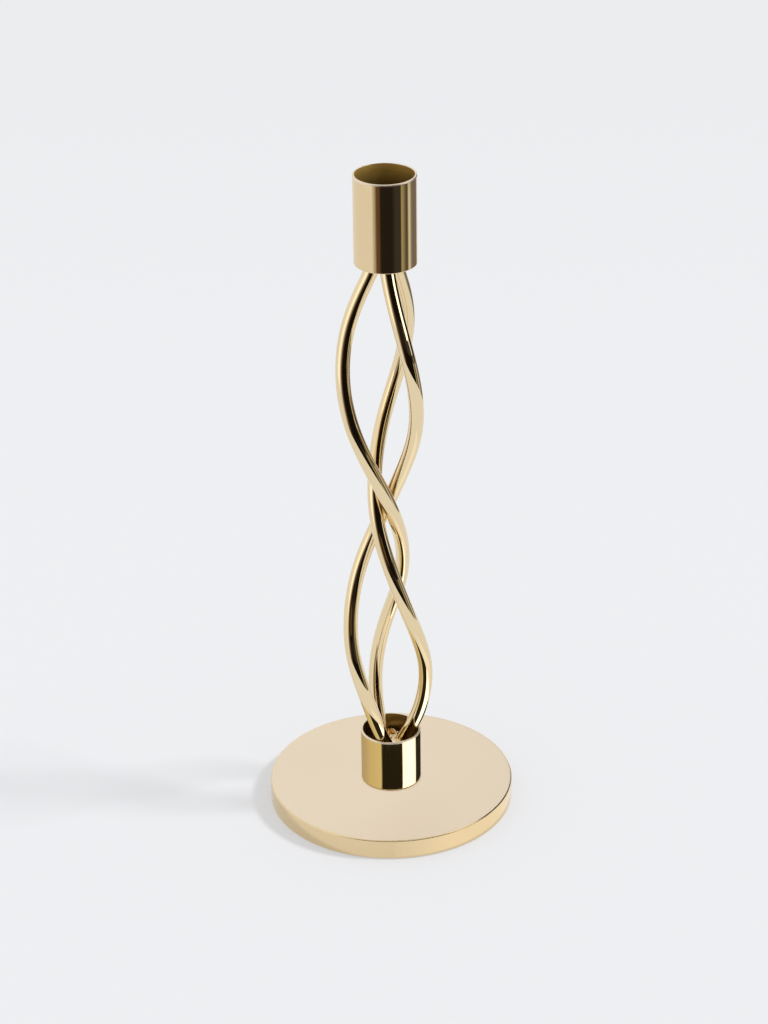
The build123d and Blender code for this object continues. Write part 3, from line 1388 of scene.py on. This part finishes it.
@dataclass
class Studio:
    """The pale floor, the soft key light from the right, the fill, and the cards."""

    floor_reach: float = 9.0
    key_strength: float = 1.6
    key_spread: float = 11.0
    key_height: float = 47.0
    key_side: float = 87.5
    fill: Colour = (0.63, 0.63, 0.64)
    backdrop: Colour = (0.855, 0.863, 0.879)
    mirror_sky: Colour = (0.93, 0.92, 0.90)
    cards: tuple[StudioCard | FootCard, ...] = (
        # Lies close over the base: its tones are painted reflections that give the collar its bands, and its
        # underside glows pale, a painted reflection in the satin top
        FootCard(CardGlow("foot_card", (
            (0.0, (0.20, 0.16, 0.09)), (0.22, (0.20, 0.16, 0.09)), (0.328, (0.25, 0.21, 0.13)),
            (0.378, (0.31, 0.27, 0.155)), (0.447, (0.34, 0.305, 0.17)), (0.4515, (0.009, 0.0075, 0.004)),
            (0.5625, (0.01, 0.008, 0.0045)), (0.567, (1.0, 0.96, 0.92)), (0.65, (1.0, 0.96, 0.92)),
            (0.658, (0.0125, 0.011, 0.006)), (0.736, (0.0135, 0.011, 0.007)), (0.75, (0.045, 0.036, 0.022)),
            (1.0, (0.20, 0.16, 0.09))), strength=2.25, one_sided=True, underside_glow_share=0.6)),
        front_flag("front_flag", FLAG_TONES, distance=0.40, low=0.0, high=0.26),
        front_flag("high_flag", FLAG_TONES, distance=0.105, low=0.155, high=0.46),
        front_flag("low_deep_flag", DEEP_TONES, distance=0.398, low=0.0, high=0.078),
        front_flag("mid_deep_flag", DEEP_TONES, distance=0.398, low=0.128, high=0.26),
        front_flag("waist_deep_flag", DEEP_TONES, distance=0.1045, low=0.150, high=0.197),
        front_flag("high_deep_flag", DEEP_TONES, distance=0.1045, low=0.240, high=0.46),
        StudioCard(CardGlow("lower_gleam", GLEAM_TONES), -6.0, 16.0, 0.396, low=0.14, high=0.25),
        StudioCard(
            CardGlow("left_glow", (
                (0.0, (0.80, 0.80, 0.80)), (0.3, (0.98, 0.98, 0.98)), (0.85, (0.98, 0.98, 0.98)),
                (1.0, (0.75, 0.74, 0.72))), strength=1.3),
            start=-78.0, end=-43.0, distance=0.40, low=0.13, high=0.25),
        StudioCard(
            CardGlow("side_strips", (
                (0.0, (0.23, 0.19, 0.12)), (0.045, (0.44, 0.39, 0.25)), (0.10, (0.35, 0.31, 0.18)),
                (0.15, (0.27, 0.25, 0.17)), (0.21, (0.13, 0.12, 0.09)), (0.27, (0.085, 0.08, 0.06)),
                (0.31, (0.12, 0.11, 0.09)), (0.345, (0.40, 0.33, 0.27)), (0.39, (0.82, 0.78, 0.74)),
                (0.44, (0.70, 0.68, 0.66)), (0.50, (0.36, 0.34, 0.31)), (0.56, (0.23, 0.21, 0.19)),
                (0.64, (0.20, 0.18, 0.17)), (0.90, (0.20, 0.18, 0.17)), (1.0, (0.45, 0.43, 0.44)))),
            start=57.0, end=152.0, distance=0.40, low=0.0, high=0.17),
        StudioCard(
            CardGlow("right_flag", (
                (0.0, (0.007, 0.006, 0.005)), (0.8, (0.012, 0.010, 0.008)), (1.0, (0.3, 0.25, 0.15)))),
            start=56.0, end=76.0, distance=0.395, low=0.132, high=0.235),
        StudioCard(
            CardGlow("right_softbox", even((1.0, 0.98, 0.95)), strength=2.2),
            start=57.0, end=91.0, distance=0.41, low=0.232, high=0.42, lean=0.03),
        StudioCard(
            CardGlow("right_back_flag", (
                (0.0, (0.25, 0.2, 0.12)), (0.08, (0.012, 0.010, 0.008)), (0.85, (0.012, 0.010, 0.008)),
                (1.0, (0.2, 0.17, 0.13)))),
            start=92.0, end=156.0, distance=0.395, low=0.128, high=0.48),
        # Stands close round the collar, so that the satin top doesn't mirror its dark bands
        StudioCard(
            CardGlow("sleeve_card", even((0.93, 0.92, 0.90)), one_sided=True),
            start=180.0, end=-180.0, distance=12.3 * MM, low=9.1 * MM, high=31.4 * MM, steps=96),
        # Lies on the floor beside the base, in front and on the right, and is what its rim mirrors there
        StudioCard(
            CardGlow("floor_strip", (
                (0.0, (0.86, 0.865, 0.88)), (0.3, (1.04, 1.02, 0.99)), (0.8, (1.04, 1.02, 0.99)),
                (1.0, (0.9, 0.9, 0.9)))),
            start=2.0, end=95.0, distance=0.10, low=0.4 * MM, high=0.4 * MM, lean=0.0485),
    )

    def floor(self) -> None:
        """Lays the floor."""
        reach = self.floor_reach
        made = mesh_object(
            "studio_floor",
            [(-reach, -reach, 0.0), (reach, -reach, 0.0), (reach, reach, 0.0), (-reach, reach, 0.0)],
            [(0, 1, 2, 3)])
        made.data.materials.append(PaperFloor().material())
        made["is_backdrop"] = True

    def key(self) -> None:
        """Hangs the key light, high on the right, which only matt surfaces take."""
        data = bpy.data.lights.new("key_light", "SUN")
        data.energy = self.key_strength
        data.angle = math.radians(self.key_spread)
        made = bpy.data.objects.new("key_light", data)
        height, side = math.radians(self.key_height), math.radians(self.key_side)
        out = math.cos(height)
        towards = Vector((out * math.sin(side), -out * math.cos(side), math.sin(height)))
        made.rotation_mode = "QUATERNION"
        made.rotation_quaternion = towards.to_track_quat("Z", "Y")
        made.visible_glossy = False
        bpy.context.scene.collection.objects.link(made)

    def sky(self) -> None:
        """Sets the world: plain fill, a pale backdrop for the camera, and a bright tent for metal."""
        world = bpy.data.worlds.new("studio_tent")
        bpy.context.scene.world = world
        sheet = NodeSheet(world)
        rays = sheet.node("LightPath").outputs
        shade = sheet.node("Background", {"Color": self.fill}).outputs[0]
        for colour, seen in ((self.mirror_sky, "Is Glossy Ray"), (self.backdrop, "Is Camera Ray")):
            glow = sheet.node("Background", {"Color": colour}).outputs[0]
            shade = sheet.node("MixShader", {0: rays[seen], 1: shade, 2: glow}).outputs[0]
        sheet.end(shade)

    def build(self) -> None:
        """Builds the whole studio."""
        self.floor()
        self.key()
        self.sky()
        for card in self.cards:
            card.build()
        bpy.context.scene.view_settings.view_transform = "Standard"


@dataclass
class CandleHolder:
    """The whole holder, from the felt to the socket."""

    foot: WeightedFoot = field(default_factory=WeightedFoot)
    collar: OpenCollar = field(default_factory=OpenCollar)
    rods: TwistedRods = field(default_factory=TwistedRods)
    joints: BrazedJoints = field(default_factory=BrazedJoints)
    socket: CandleSocket = field(default_factory=CandleSocket)

    def build(self, frame: dict) -> None:
        """Builds every sub-assembly in order, from the ground up.
        """
        polished, lip = POLISHED_TUBE.material(), FACED_LIP.material()
        shaded_collar_bore, shaded_socket_bore = COLLAR_BORE.material(), SOCKET_BORE.material()
        self.foot.build(frame)
        # The collar's bore is a darker copy of the brass: painted shade
        self.collar.build(frame, TubeFinishes(polished, shaded_collar_bore, lip))
        self.rods.build()
        self.joints.build(frame)
        # The socket's bore carries painted shade that deepens downward
        self.socket.build(frame, TubeFinishes(polished, shaded_socket_bore, lip))


def corners() -> list[list[float]]:
    """Gives the lowest and highest corner of what is shown, as plain lists."""
    return [list(corner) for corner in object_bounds()]


def main() -> None:
    """Loads the frame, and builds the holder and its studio."""
    logging.basicConfig(level=logging.INFO, format="%(name)s: %(message)s")
    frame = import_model()
    CandleHolder().build(frame)
    PhotographCamera().build()
    Studio().build()


if __name__ == "__main__":
    main()
